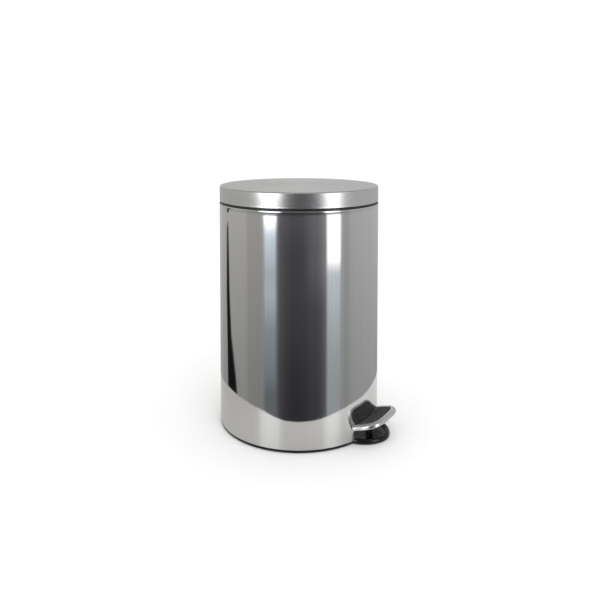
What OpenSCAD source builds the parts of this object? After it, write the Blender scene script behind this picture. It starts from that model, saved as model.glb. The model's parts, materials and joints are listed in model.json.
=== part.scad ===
// Round pedal bin: steel body and lid, plastic base and rim, lift-out bucket,
// foot pedal with a lever and push rod that raise the lid.
// Millimetres. +Z up, -Y towards the pedal, +Y towards the hinge.
// Origin: centre of the base, on the floor.

/* [Body] */
// Outside radius of the steel body
body_r = 147; // [142:1:150]
// Thickness of the steel body and lid
sheet_t = 0.6; // [0.5:0.1:0.8]
// Height of the body's top edge above the floor
body_top = 409; // [380:1:430]
// Height of the black base line below the body
base_line = 5.5; // [5:0.1:6]

/* [Lid] */
// Height of the lid's side wall, from its hem to its top edge
lid_side = 27.4; // [27:0.1:30]
// Rise of the lid's crown above its edge
lid_crown = 1.4; // [0.8:0.1:2]
// Radius of the lid's top edge
lid_edge_r = 3.8; // [3:0.1:4.5]
// How far the lid opens, in degrees
lid_open_deg = 75; // [65:1:75]

/* [Bucket] */
// Wall thickness of the lift-out bucket
bucket_t = 2.2; // [1.8:0.1:2.4]
// Height of the bucket's underside above the floor
bucket_z = 50; // [48:1:60]
// Wire diameter of the bucket's handle
bail_d = 4; // [3.5:0.1:4]

/* [Pedal] */
// Rise of the tread, in degrees, away from the body
tread_rise = 16.8; // [15:0.2:18]
// Height of the tread plane at the body's surface
tread_z = 35.1; // [34.5:0.1:36]
// How far the pedal reaches out from the body
pedal_reach = 38.7; // [38:0.1:40]
// Half the pedal's width
pedal_half = 50.8; // [49:0.2:52]
// Depth of the pedal's turned-down rim
pedal_rim = 8.2; // [7.6:0.1:8.4]

/* [Mechanism] */
// Crank radius of the lid's hinge arm
crank_r = 18; // [17:0.5:18]
// Distance of the lever's pivot in front of the centre
pivot_front = 86; // [84:1:90]
// Height of the lever's pivot
pivot_z = 22; // [21.5:0.1:22.5]
// Radial clearance of a pin in a moving part
run_gap = 0.08; // [0.05:0.01:0.1]

/* [Hidden] */
$fn = 128;
e = 0.01;

// body
shell_in = body_r - sheet_t;
shell_z0 = base_line + 0.1;
bead_h = 3.7;
notch_half = 26;
notch_z = body_top - 25;
slot_half = 14;
slot_top = 34.5;
rivet_z = body_top - 7;
rivet_ang = 63.5;

// rim
ring_out = shell_in - 0.2;
ring_neck = body_r - 2.2;
ring_in = body_r - 3.8;
ring_top = body_top + 3.2;
ledge_z = body_top - 16.7;
ledge_in = body_r - 13;

// hinge
hinge_y = body_r + 6;
hinge_z = body_top - 5;
knuckle_r = 6;
hpin_r = 2.5;
half_open = lid_open_deg / 2;
lift = 2 * crank_r * sin(half_open);
boss_r = 3.5;
boss_y = hinge_y - crank_r * cos(half_open);
boss_z = hinge_z - crank_r * sin(half_open);

// lid
lid_r = body_r - 0.2;
hem_z = body_top + 4;
lid_edge_z = hem_z + lid_side;
lid_top_z = lid_edge_z + lid_crown;
liner_r = lid_r - 1.2;
liner_in = liner_r - 2.4;
liner_z0 = hem_z + 2;
liner_z1 = lid_edge_z - 3.8;
liner_t = 2;

// push rod
rod_y = body_r - 10.5;
rod_r = 2;
cap_top = boss_z - boss_r - 0.5;

// lever
rear_arm = rod_y + pivot_front;
press_deg = 2 * asin(lift / (2 * rear_arm));
tilt = press_deg / 2;
lever_w = 24;
lever_t = 3;
lever_end_y = rod_y + 6;
rod_top_z = cap_top - 3;
lever_top_z = pivot_z - rear_arm * tan(tilt) + lever_t / 2 / cos(tilt);
foot_z = lever_top_z + 0.5;

// pedal
tread_slope = -tread_rise;
slope_k = tan(tread_slope);
pedal_n = 3.1;
body_gap = 1.6;
metal_t = 1.2;
pad_inset = 8.2;
pad_step = 2.2;
rim_round = 5.4;

// tongue of the base
tongue_c = 134.5;
tongue_a = body_r + 36 - tongue_c;
tongue_b = 47.8;
tongue_n = 1.9;
tongue_top = 9.8;
tongue_dish = 5.4;
tongue_lip = 7;

// bucket
flange_z = ledge_z + 0.2;
flange_t = 2.5;
flange_r = body_r - 6;
bucket_top_r = body_r - 14;
bucket_low_r = body_r - 23;
bucket_flat = body_r - 19.5;
bail_r = body_r - 10.5;
bail_z = flange_z + flange_t + 5.4;
ear_x = body_r - 15.6;
ear_t = 2.4;

// ---------- helpers ----------
module tube(r0, r1, z0, z1) {
  translate([0, 0, z0]) difference() {
    cylinder(r = r1, h = z1 - z0);
    translate([0, 0, -1]) cylinder(r = r0, h = z1 - z0 + 2);
  }
}
module rodx(r, x0, x1, y, z) { translate([x0, y, z]) rotate([0, 90, 0]) cylinder(r = r, h = x1 - x0); }
module rody(r, y0, y1, x, z) { translate([x, y0, z]) rotate([-90, 0, 0]) cylinder(r = r, h = y1 - y0); }
module radial(r, r0, r1, a, z) { rotate([0, 0, a]) translate([r0, 0, z]) rotate([0, 90, 0]) cylinder(r = r, h = r1 - r0); }
module block(x0, x1, y0, y1, z0, z1) { translate([x0, y0, z0]) cube([x1 - x0, y1 - y0, z1 - z0]); }
// a side profile in (y, z), extruded along x
module profile_x(x0, x1, pts) { translate([x0, 0, 0]) rotate([90, 0, 90]) linear_extrude(height = x1 - x0) polygon(pts); }

function sgn(v) = v < 0 ? -1 : 1;
function oval(a, b, n, steps) = [for (i = [0:steps - 1]) let (t = 360 * i / steps, c = cos(t), s = sin(t))
  [b * sgn(c) * pow(abs(c), 2 / n), a * sgn(s) * pow(abs(s), 2 / n)]];
function arc(cx, cy, r, a0, a1, n) = [for (i = [0:n]) let (a = a0 + (a1 - a0) * i / n) [cx + r * cos(a), cy + r * sin(a)]];

// ---------- fixed casing ----------
module body_shell() {
  color("silver") difference() {
    rotate_extrude() polygon([
      [shell_in, shell_z0], [body_r, shell_z0], [body_r, body_top - bead_h], [body_r + 0.25, body_top - bead_h + 0.7],
      [body_r + 0.25, body_top - 0.6], [body_r - 0.1, body_top], [shell_in, body_top]]);
    block(-notch_half, notch_half, 100, body_r + 5, notch_z, body_top + 1);
    block(-slot_half, slot_half, -body_r - 5, -100, 0, slot_top);
    for (s = [-1, 1]) {
      radial(1.7, body_r - 5, body_r + 3, 90 + s * rivet_ang, rivet_z);
      rody(1.8, body_r - 8, body_r + 3, s * 14, notch_z - 4.5);
    }
    for (z = [120, 320]) rody(1.6, body_r - 5, body_r + 3, 0, z);
  }
}

module tongue_slab(d, z0, z1) {
  translate([0, -tongue_c, z0]) linear_extrude(height = z1 - z0) polygon(oval(tongue_a - d, tongue_b - d, tongue_n, 72));
}

module base() {
  color([0.07, 0.07, 0.07]) difference() {
    union() {
      rotate_extrude() polygon([
        [0, 2.8], [135.5 + body_r - 147, 2.8], [136.5 + body_r - 147, 1.0], [body_r - 1.3, 1.0], [body_r - 0.7, 1.6],
        [body_r - 0.7, base_line], [ring_out, base_line], [ring_out, 20], [body_r - 3, 20], [body_r - 3, 5.4], [0, 5.4]]);
      // tongue below the pedal: rounded lip around a shallow dish
      difference() {
        union() {
          tongue_slab(1.6, 0.5, 1.2);
          tongue_slab(0.5, 1.2, 2.6);
          tongue_slab(0, 2.6, 6.2);
          tongue_slab(0.5, 6.2, 7.7);
          tongue_slab(1.4, 7.7, 8.9);
          tongue_slab(2.6, 8.9, tongue_top);
        }
        tongue_slab(tongue_lip, tongue_dish, 20);
        tongue_slab(tongue_lip - 1.5, tongue_top - 1.8, 20);
        translate([0, 0, base_line - 0.2]) cylinder(r = body_r + 0.3, h = 20);
        translate([0, 0, -1]) cylinder(r = body_r - 8, h = 20);
        translate([0, -body_r - 20, -1]) cylinder(r = 8.1, h = 2.7);
      }
      // pivot bosses
      for (s = [-1, 1]) {
        block(s * 16.2 - 3, s * 16.2 + 3, -pivot_front - 8, -pivot_front + 8, 5, pivot_z);
        rodx(8, s * 16.2 - 3, s * 16.2 + 3, -pivot_front, pivot_z);
      }
      // stop block and stiffening ribs
      block(-9, 9, -pivot_front - 46, -pivot_front - 32, 5, 18.3);
      for (a = [40, 80, 100, 140, 220, 320]) rotate([0, 0, a]) block(30, body_r - 4, -0.9, 0.9, 5, 8.4);
      tube(28, 30, 5, 8);
    }
    // seat of the rubber ring
    tube(body_r - 9, body_r - 3, 0, 2.6);
    // way for the lever
    block(-slot_half, slot_half, -body_r + 0.2, -110 - body_r + 147 - 20, 12, 30);
    rodx(hpin_r + 0.02, -30, 30, -pivot_front, pivot_z);
  }
}

module anti_slip_ring() {
  color([0.12, 0.12, 0.12]) difference() {
    tube(body_r - 8.9, body_r - 3.1, 0, 2.55);
    tube(body_r - 6.6, body_r - 5.4, -1, 0.6);
  }
}

module front_foot_pad() {
  color([0.12, 0.12, 0.12]) translate([0, -body_r - 20, 0]) cylinder(r = 8, h = 1.6);
}

module top_ring() {
  color([0.06, 0.06, 0.06]) difference() {
    rotate_extrude() polygon([
      [ledge_in, ledge_z - 2.5], [ring_out, ledge_z - 2.5], [ring_out, body_top - 0.15], [ring_neck, body_top - 0.15],
      [ring_neck, ring_top], [ring_in, ring_top], [ring_in, ledge_z], [ledge_in, ledge_z]]);
    block(-31, 31, 90, body_r + 5, ledge_z - 5, ring_top + 1);
    for (s = [-1, 1]) radial(1.65, body_r - 8, body_r + 3, 90 + s * rivet_ang, rivet_z);
  }
}

module rim_rivets() {
  color([0.05, 0.05, 0.05]) for (s = [-1, 1]) {
    radial(2.3, body_r + 0.05, body_r + 0.8, 90 + s * rivet_ang, rivet_z);
    radial(1.6, ring_in - 1, body_r + 0.1, 90 + s * rivet_ang, rivet_z);
    radial(2.2, ring_in - 1.8, ring_in - 0.1, 90 + s * rivet_ang, rivet_z);
  }
}

module hinge_housing() {
  pz0 = notch_z - 8;
  color([0.09, 0.09, 0.09]) difference() {
    union() {
      intersection() { tube(body_r + 0.15, body_r + 2.65, pz0, notch_z + 12); block(-32, 32, 100, 160, pz0 - 1, notch_z + 13); }
      intersection() { tube(ring_in + 0.5, shell_in - 0.2, pz0 - 4, notch_z + 2.2); block(-25.6, 25.6, 100, 160, pz0 - 5, notch_z + 3); }
      intersection() { tube(ring_in + 0.5, body_r + 2, notch_z + 0.2, notch_z + 2.2); block(-25.6, 25.6, 100, 160, notch_z, notch_z + 3); }
      for (s = [-1, 1]) difference() {
        union() {
          rodx(6.5, s * 26 - 4, s * 26 + 4, hinge_y, hinge_z);
          profile_x(s * 26 - 4, s * 26 + 4, [[body_r - 3, pz0 + 4], [body_r + 2.5, pz0 + 4], [hinge_y + 5.6, hinge_z - 3.2], [hinge_y, hinge_z + 3], [hinge_y - 5.5, hinge_z + 2], [hinge_y - 6, hinge_z - 1], [body_r - 3, hinge_z - 8]]);
        }
        translate([0, 0, pz0 - 2]) cylinder(r = body_r + 0.3, h = 60);
      }
    }
    for (s = [-1, 1]) {
      rody(1.65, body_r - 8, body_r + 6, s * 14, notch_z - 4.5);
      rody(3.7, body_r + 1.4, body_r + 6, s * 14, notch_z - 4.5);
    }
    rodx(hpin_r + 0.02, -40, 40, hinge_y, hinge_z);
  }
}

module hinge_screws() {
  color("gray") for (s = [-1, 1]) difference() {
    union() {
      rody(1.6, body_r - 6.5, body_r + 1.5, s * 14, notch_z - 4.5);
      rody(3.4, body_r + 1.45, body_r + 3.2, s * 14, notch_z - 4.5);
    }
    for (a = [0, 90]) translate([s * 14, body_r + 3.2, notch_z - 4.5]) rotate([0, a, 0]) cube([4, 1.8, 0.8], center = true);
  }
}

module hinge_pin() {
  color("gray") {
    rodx(hpin_r, -31, 31, hinge_y, hinge_z);
    for (s = [-1, 1]) rodx(4, s * 30.7 - 0.6, s * 30.7 + 0.6, hinge_y, hinge_z);
  }
}

module rod_guides() {
  color([0.85, 0.85, 0.82]) for (z = [120, 320]) difference() {
    intersection() {
      union() {
        block(-9, 9, rod_y + 1, body_r + 5, z - 8, z + 8);
        block(-5, 5, rod_y - 5, rod_y + 2, z - 8, z + 8);
      }
      cylinder(r = shell_in - 0.1, h = 500);
    }
    translate([0, rod_y, z - 20]) cylinder(r = rod_r + run_gap, h = 40);
    rody(1.6, rod_y + 3.4, body_r + 5, 0, z);
  }
}

module guide_rivets() {
  color("lightgray") for (z = [120, 320]) {
    rody(1.55, rod_y + 3.6, body_r + 0.1, 0, z);
    rody(3.1, body_r + 0.05, body_r + 0.9, 0, z);
  }
}

module pivot_pin() {
  color("gray") rodx(hpin_r, -21.6, 21.6, -pivot_front, pivot_z);
}

module pivot_clips() {
  color("gray") for (s = [-1, 1]) difference() {
    rodx(4.6, s * 20 - 0.5, s * 20 + 0.5, -pivot_front, pivot_z);
    rodx(hpin_r + 0.02, s * 20 - 2, s * 20 + 2, -pivot_front, pivot_z);
    block(s * 20 - 2, s * 20 + 2, -pivot_front - 1.2, -pivot_front + 1.2, pivot_z, pivot_z + 10);
  }
}

module lever_pads() {
  color([0.15, 0.15, 0.15]) {
    block(-8, 8, -pivot_front - 45, -pivot_front - 33, 18.35, 21.3);
    block(-8, 8, rod_y - 5, rod_y + 4, 5.45, 7.6);
  }
}

// ---------- lid ----------
function lid_outer() = concat(
  [[lid_r + 0.2, hem_z], [lid_r + 0.2, hem_z + 2], [lid_r, hem_z + 2.4]],
  arc(lid_r - lid_edge_r, lid_edge_z - lid_edge_r, lid_edge_r, 0, 90, 6),
  [for (k = [5:-1:0]) [(lid_r - lid_edge_r) * k / 6, lid_edge_z + lid_crown * (1 - pow(k / 6, 2))]]);
function lid_inner() = concat(
  [for (k = [0:1:5]) [(lid_r - lid_edge_r) * k / 6, lid_edge_z - sheet_t + lid_crown * (1 - pow(k / 6, 2))]],
  arc(lid_r - lid_edge_r, lid_edge_z - lid_edge_r, lid_edge_r - sheet_t, 90, 0, 6),
  [[lid_r - sheet_t, hem_z]]);

module lid_shell() {
  color("silver") rotate_extrude() polygon(concat(lid_outer(), lid_inner()));
}

buffer_ang = [235, 305, 35, 145];
screw_xy = [[0, body_r - 45], [-7, body_r - 21], [7, body_r - 21]];

module lid_liner() {
  color([0.2, 0.2, 0.2]) difference() {
    union() {
      rotate_extrude() polygon([
        [0, liner_z1], [liner_in, liner_z1], [liner_in, liner_z0], [liner_r, liner_z0], [liner_r, liner_z1 + 0.2],
        [liner_r - 1.8, liner_z1 + liner_t], [0, liner_z1 + liner_t]]);
      intersection() {
        for (a = buffer_ang) rotate([0, 0, a]) translate([liner_in - 0.8, 0, liner_z0 + 0.05]) cylinder(r = 3.2, h = liner_z1 - liner_z0 + 0.9);
        cylinder(r = liner_r - 0.9, h = 500);
      }
    }
    for (p = screw_xy) translate([p[0], p[1], liner_z1 - 1]) cylinder(r = 1.6, h = 2.6);
  }
}

module lid_hinge_arm() {
  py = body_r - 10.8;
  color([0.25, 0.25, 0.25]) difference() {
    union() {
      rodx(knuckle_r, -21, 21, hinge_y, hinge_z);
      profile_x(-18, 18, [
        [hinge_y, hinge_z + 5.9], [body_r + 0.5, hinge_z + 7.8], [body_r - 5.8, hinge_z + 7.8], [body_r - 7.8, hinge_z + 9.8],
        [body_r - 7.8, liner_z1 - 0.2], [body_r - 52, liner_z1 - 0.2], [body_r - 52, liner_z1 - 2.7], [py, liner_z1 - 2.7],
        [py, hinge_z + 7.5], [body_r - 7, hinge_z + 3.2], [body_r + 3, hinge_z - 4]]);
      // crank that the push rod lifts
      translate([0, hinge_y, hinge_z]) rotate([half_open, 0, 0]) block(-12, 12, -crank_r, 0, -0.5, 4.5);
      rodx(boss_r, -12, 12, boss_y, boss_z);
      // ribs in the corner of the arm
      for (s = [-1, 1]) profile_x(s * 12 - 1, s * 12 + 1, [[py + 0.5, hinge_z + 12], [py + 0.5, liner_z1 - 2], [py - 16, liner_z1 - 2]]);
    }
    rodx(hpin_r + run_gap, -40, 40, hinge_y, hinge_z);
    for (p = screw_xy) translate([p[0], p[1], liner_z1 - 6]) cylinder(r = 1.8, h = 8);
  }
}

module lid_arm_screws() {
  color("gray") for (p = screw_xy) translate([p[0], p[1], 0]) {
    translate([0, 0, liner_z1 - 4.4]) difference() {
      cylinder(r = 3.3, h = 1.65);
      for (a = [0, 90]) rotate([0, 0, a]) cube([3.6, 0.8, 1.4], center = true);
    }
    translate([0, 0, liner_z1 - 2.8]) cylinder(r = 1.55, h = 4.2);
  }
}

module lid_buffers() {
  color([0.1, 0.1, 0.1]) for (a = buffer_ang) rotate([0, 0, a]) translate([liner_in - 0.2, 0, ring_top + 0.2]) {
    cylinder(r1 = 1.7, r2 = 2.2, h = 1);
    translate([0, 0, 1]) cylinder(r = 2.2, h = liner_z0 - ring_top - 1.25);
  }
}

// ---------- bucket ----------
module inner_bucket() {
  z1 = flange_z + flange_t;
  color([0.3, 0.31, 0.32]) difference() {
    union() {
      intersection() {
        rotate_extrude() polygon([[0, bucket_z], [bucket_low_r - 3, bucket_z], [bucket_low_r, bucket_z + 3], [bucket_top_r, flange_z + 1], [0, flange_z + 1]]);
        block(-200, 200, -200, bucket_flat, 0, 500);
      }
      intersection() {
        tube(bucket_top_r - 3, flange_r, flange_z, z1);
        block(-200, 200, -200, bucket_flat + 2, 0, 500);
      }
      intersection() { translate([0, 0, flange_z]) cylinder(r = bucket_top_r + 1, h = flange_t); block(-200, 200, -200, bucket_flat + 2, 0, 500); }
      for (s = [-1, 1]) {
        block(s * (ear_x + ear_t / 2) - ear_t / 2, s * (ear_x + ear_t / 2) + ear_t / 2, -6, 6, z1 - 0.5, bail_z);
        rodx(6, s * (ear_x + ear_t / 2) - ear_t / 2, s * (ear_x + ear_t / 2) + ear_t / 2, 0, bail_z);
      }
    }
    intersection() {
      rotate_extrude() polygon([[0, bucket_z + bucket_t + 0.4], [bucket_low_r - bucket_t - 2, bucket_z + bucket_t + 0.4], [bucket_low_r - bucket_t, bucket_z + bucket_t + 2.4],
        [bucket_top_r - bucket_t, z1 + 1], [0, z1 + 1]]);
      block(-200, 200, -200, bucket_flat - bucket_t, 0, 500);
    }
    rodx(bail_d / 2 + 0.1, -200, 200, 0, bail_z);
  }
}

module bucket_bail() {
  r = bail_d / 2;
  color("lightgray") {
    translate([0, 0, bail_z]) rotate([0, 0, 180]) rotate_extrude(angle = 180) translate([bail_r, 0]) circle(r = r, $fn = 32);
    for (s = [-1, 1]) {
      translate([s * bail_r, 0, bail_z]) sphere(r = r + 0.3, $fn = 32);
      rodx(r, s > 0 ? ear_x - 2.2 : -bail_r, s > 0 ? bail_r : -ear_x + 2.2, 0, bail_z);
      rodx(3.1, s > 0 ? ear_x - 2.2 : -ear_x + 0.4, s > 0 ? ear_x - 0.4 : -ear_x + 2.2, 0, bail_z);
    }
  }
}

module bail_grip() {
  color([0.1, 0.1, 0.1]) translate([0, 0, bail_z]) rotate([0, 0, 270 - 19]) rotate_extrude(angle = 38) translate([bail_r, 0]) difference() {
    circle(r = 5, $fn = 48);
    circle(r = bail_d / 2 + 0.05, $fn = 48);
  }
}

// ---------- pedal ----------
// the frame of the tread: x across, y outwards along the slope, z out of the tread
module tread_frame() { translate([0, -body_r, tread_z]) rotate([0, 0, 180]) rotate([-tread_slope, 0, 0]) children(); }
module tread_layer(d, z, h) {
  translate([0, 0, z]) linear_extrude(height = h) polygon(oval((pedal_reach - d) / cos(tread_slope), pedal_half - d, pedal_n, 72));
}
// the pressing is one closed skin: rings [inset, z] from the underside, round the rim, into the pad's recess
tread_steps = 72;
function tread_ring(d, z) = [for (p = oval((pedal_reach - d) / cos(tread_slope), pedal_half - d, pedal_n, tread_steps)) [p[0], p[1], z]];
function rim_arc(r, angles) = [for (a = angles) [rim_round - r * sin(a), -rim_round + r * cos(a)]];
function pressing() = concat(
  [[pad_inset - metal_t, -pad_step - metal_t], [pad_inset - metal_t, -metal_t]],
  rim_arc(rim_round - metal_t, [0, 30, 60, 90]),
  [[metal_t, -pedal_rim], [0, -pedal_rim]],
  rim_arc(rim_round, [90, 67.5, 45, 22.5, 0]),
  [[pad_inset, 0], [pad_inset, -pad_step]]);
module ring_stack(list) {
  n = tread_steps;
  m = len(list);
  polyhedron(
    points = [for (q = list) each tread_ring(q[0], q[1])],
    faces = concat(
      [[for (i = [0:n - 1]) i]],
      [for (k = [0:m - 2], i = [0:n - 1]) [k * n + i, (k + 1) * n + i, (k + 1) * n + (i + 1) % n]],
      [for (k = [0:m - 2], i = [0:n - 1]) [k * n + i, (k + 1) * n + (i + 1) % n, k * n + (i + 1) % n]],
      [[for (i = [n - 1:-1:0]) (m - 1) * n + i]]));
}

module pedal_shell() {
  color([0.9, 0.9, 0.92]) difference() {
    tread_frame() difference() {
      ring_stack(pressing());
      for (s = [-1, 1]) translate([s * 6.5, 17, -20]) cylinder(r = 2.02, h = 40, $fn = 48);
    }
    translate([0, 0, -10]) cylinder(r = body_r + body_gap, h = 80);
  }
}

module pedal_pad() {
  color([0.22, 0.22, 0.22]) difference() {
    tread_frame() {
      tread_layer(pad_inset + 0.15, -pad_step + 0.05, pad_step - 0.65);
      for (k = [0:3]) difference() {
        tread_layer(pad_inset + 2.2 + k * 7, -pad_step + 0.05, pad_step - 0.25);
        tread_layer(pad_inset + 6.2 + k * 7, -pad_step - 1, pad_step + 4);
      }
    }
    translate([0, 0, -10]) cylinder(r = body_r + body_gap + 0.2, h = 80);
  }
}

module pedal_rivets() {
  color("gray") tread_frame() for (s = [-1, 1]) translate([s * 6.5, 17, 0]) {
    translate([0, 0, -pad_step - 4.5]) cylinder(r = 2, h = 4.45, $fn = 48);
    translate([0, 0, -pad_step - 5.5]) cylinder(r = 3.4, h = 1.15, $fn = 48);
  }
}

module pedal_lever() {
  h = lever_t / 2;
  u1 = body_r + 1.2;
  u2 = body_r + 25;
  // the flat under the tread lies 0.1 below the pressing
  off = (pad_step + metal_t + 0.1) / cos(tread_slope);
  z1 = tread_z - (u1 - body_r) * slope_k - off - h / cos(tread_slope);
  z2 = tread_z - (u2 - body_r) * slope_k - off - h / cos(tread_slope);
  ze = pivot_z - (lever_end_y + pivot_front) * tan(tilt);
  v = h / cos(tread_slope);
  color("lightgray") difference() {
    union() {
      profile_x(-lever_w / 2, lever_w / 2, [
        [-u2, z2 - v], [-u2, z2 + v], [-u1, z1 + v], [-pivot_front, pivot_z + h], [lever_end_y, ze + h],
        [lever_end_y, ze - h], [-pivot_front, pivot_z - h], [-u1, z1 - v]]);
      rodx(5.5, -lever_w / 2, lever_w / 2, -pivot_front, pivot_z);
      // pressed side flanges stiffen the strip
      for (s = [-1, 1]) profile_x(s * (lever_w / 2 - 0.75) - 0.75, s * (lever_w / 2 - 0.75) + 0.75, [
        [-pivot_front + 8, pivot_z - 0.5], [rod_y - 16, pivot_z - (rod_y - 16 + pivot_front) * tan(tilt)],
        [rod_y - 16, pivot_z - (rod_y - 16 + pivot_front) * tan(tilt) + 4], [rod_y - 40, pivot_z - (rod_y - 40 + pivot_front) * tan(tilt) + 6], [-pivot_front + 8, pivot_z + 6]]);
    }
    rodx(hpin_r + run_gap, -40, 40, -pivot_front, pivot_z);
    tread_frame() for (s = [-1, 1]) translate([s * 6.5, 17, -20]) cylinder(r = 2.02, h = 40, $fn = 48);
  }
}

// ---------- push rod ----------
module push_rod() {
  color("lightgray") translate([0, rod_y, foot_z + 4]) cylinder(r = rod_r, h = rod_top_z - foot_z - 4);
}
module rod_cap() {
  color([0.85, 0.85, 0.82]) translate([0, rod_y, 0]) difference() {
    translate([0, 0, cap_top - 8]) cylinder(r = 4.5, h = 8);
    translate([0, 0, cap_top - 9]) cylinder(r = rod_r + 0.02, h = 6.05);
  }
}
module rod_foot() {
  color([0.85, 0.85, 0.82]) translate([0, rod_y, 0]) difference() {
    union() {
      translate([0, 0, foot_z + 3]) cylinder(r = 4.5, h = 7);
      intersection() {
        translate([0, 0, foot_z + 6]) sphere(r = 6);
        translate([0, 0, foot_z - 1]) cylinder(r = 4.5, h = 6);
      }
    }
    translate([0, 0, foot_z + 3.95]) cylinder(r = rod_r + 0.02, h = 10);
  }
}

body_shell();
base();
anti_slip_ring();
front_foot_pad();
top_ring();
rim_rivets();
hinge_housing();
hinge_screws();
hinge_pin();
rod_guides();
guide_rivets();
pivot_pin();
pivot_clips();
lever_pads();
lid_shell();
lid_liner();
lid_hinge_arm();
lid_arm_screws();
lid_buffers();
inner_bucket();
bucket_bail();
bail_grip();
pedal_lever();
pedal_shell();
pedal_pad();
pedal_rivets();
push_rod();
rod_cap();
rod_foot();
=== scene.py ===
import bpy, bmesh, json, math
from mathutils import Vector, Matrix


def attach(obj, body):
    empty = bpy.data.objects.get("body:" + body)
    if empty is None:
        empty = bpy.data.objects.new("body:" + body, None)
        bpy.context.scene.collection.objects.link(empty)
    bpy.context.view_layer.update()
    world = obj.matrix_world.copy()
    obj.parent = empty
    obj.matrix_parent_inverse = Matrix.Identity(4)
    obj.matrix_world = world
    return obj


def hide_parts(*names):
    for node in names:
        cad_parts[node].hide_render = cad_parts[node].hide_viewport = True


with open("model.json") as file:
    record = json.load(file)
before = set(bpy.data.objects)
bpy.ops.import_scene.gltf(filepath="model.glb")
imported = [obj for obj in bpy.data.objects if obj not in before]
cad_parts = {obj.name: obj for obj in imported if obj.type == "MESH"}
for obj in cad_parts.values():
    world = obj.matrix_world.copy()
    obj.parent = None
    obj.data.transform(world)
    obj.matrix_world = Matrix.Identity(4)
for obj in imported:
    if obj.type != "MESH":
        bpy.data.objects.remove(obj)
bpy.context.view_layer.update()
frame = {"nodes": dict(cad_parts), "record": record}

MM = 0.001
R = 147.0
scene = bpy.context.scene
nodes_cad = frame["nodes"]

# ------------------------------------------------------------------ mesh helpers
def make(name, verts, faces, mat, body, replaces=(), sharp=32.0, merge=0.0, recalc=False):
    me = bpy.data.meshes.new(name)
    me.from_pydata([tuple(c * MM for c in v) for v in verts], [], faces)
    me.validate()
    if merge or recalc:
        bm = bmesh.new(); bm.from_mesh(me)
        if merge:
            bmesh.ops.remove_doubles(bm, verts=bm.verts, dist=merge * MM)
        if recalc:
            bmesh.ops.recalc_face_normals(bm, faces=bm.faces)
        bm.to_mesh(me); bm.free()
    ob = bpy.data.objects.new(name, me)
    scene.collection.objects.link(ob)
    finish_mesh(ob, sharp)
    if mat: me.materials.append(mat)
    if body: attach(ob, body)
    if replaces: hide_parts(*replaces)
    return ob

def finish_mesh(ob, sharp=32.0):
    ob.data.polygons.foreach_set("use_smooth", [True] * len(ob.data.polygons))
    ob.data.set_sharp_from_angle(angle=math.radians(sharp))
    ob.data.update()

class Geo:
    """verts and faces gathered in millimetres"""
    def __init__(s): s.v = []; s.f = []
    def add(s, verts, faces):
        o = len(s.v); s.v += [tuple(p) for p in verts]; s.f += [[i + o for i in f] for f in faces]; return s

def arc(cx, cz, r, a0, a1, n):
    return [(cx + r * math.cos(math.radians(a0 + (a1 - a0) * i / n)), cz + r * math.sin(math.radians(a0 + (a1 - a0) * i / n))) for i in range(n + 1)]

def rounded(pts, radii, n=5):
    """closed outline with each corner rounded to its radius"""
    out = []
    m = len(pts)
    for i, p in enumerate(pts):
        r = radii[i] if isinstance(radii, (list, tuple)) else radii
        p = Vector(p); a = Vector(pts[i - 1]); b = Vector(pts[(i + 1) % m])
        if r <= 0 or (a - p).length < 1e-6 or (b - p).length < 1e-6:
            out.append(tuple(p)); continue
        u = (a - p).normalized(); w = (b - p).normalized()
        c = max(-1, min(1, u.dot(w))); half = math.acos(c) / 2
        if half > math.radians(88): out.append(tuple(p)); continue
        t = min(r / math.tan(half), (a - p).length * 0.48, (b - p).length * 0.48)
        r2 = t * math.tan(half)
        cen = p + (u + w).normalized() * (r2 / math.sin(half))
        s = p + u * t - cen; e = p + w * t - cen
        a0 = math.atan2(s.y, s.x); a1 = math.atan2(e.y, e.x); d = a1 - a0
        while d > math.pi: d -= 2 * math.pi
        while d < -math.pi: d += 2 * math.pi
        for k in range(n + 1):
            q = a0 + d * k / n; out.append((cen.x + r2 * math.cos(q), cen.y + r2 * math.sin(q)))
    return out

def lathe(profile, segs=288, a0=0.0, a1=360.0, extra=(), warp=None, closed=True):
    """revolve a closed (r, z) outline about Z between two angles in degrees"""
    full = abs(a1 - a0 - 360) < 1e-6
    angs = [a0 + (a1 - a0) * i / segs for i in range(segs if full else segs + 1)]
    for x in extra:
        if all(abs(x - y) > 1e-4 for y in angs): angs.append(x)
    angs.sort()
    m = len(profile); V = []; F = []
    for a in angs:
        c, s = math.cos(math.radians(a)), math.sin(math.radians(a))
        for (r, z) in profile:
            p = (r * c, r * s, z)
            V.append(warp(p) if warp else p)
    n = len(angs)
    for i in range(n if full else n - 1):
        j = (i + 1) % n
        for k in range(m if closed else m - 1):
            l = (k + 1) % m
            F.append([i * m + k, j * m + k, j * m + l, i * m + l])
    if not full and closed:
        F.append([k for k in range(m)][::-1]); F.append([(n - 1) * m + k for k in range(m)])
    return V, F

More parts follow.
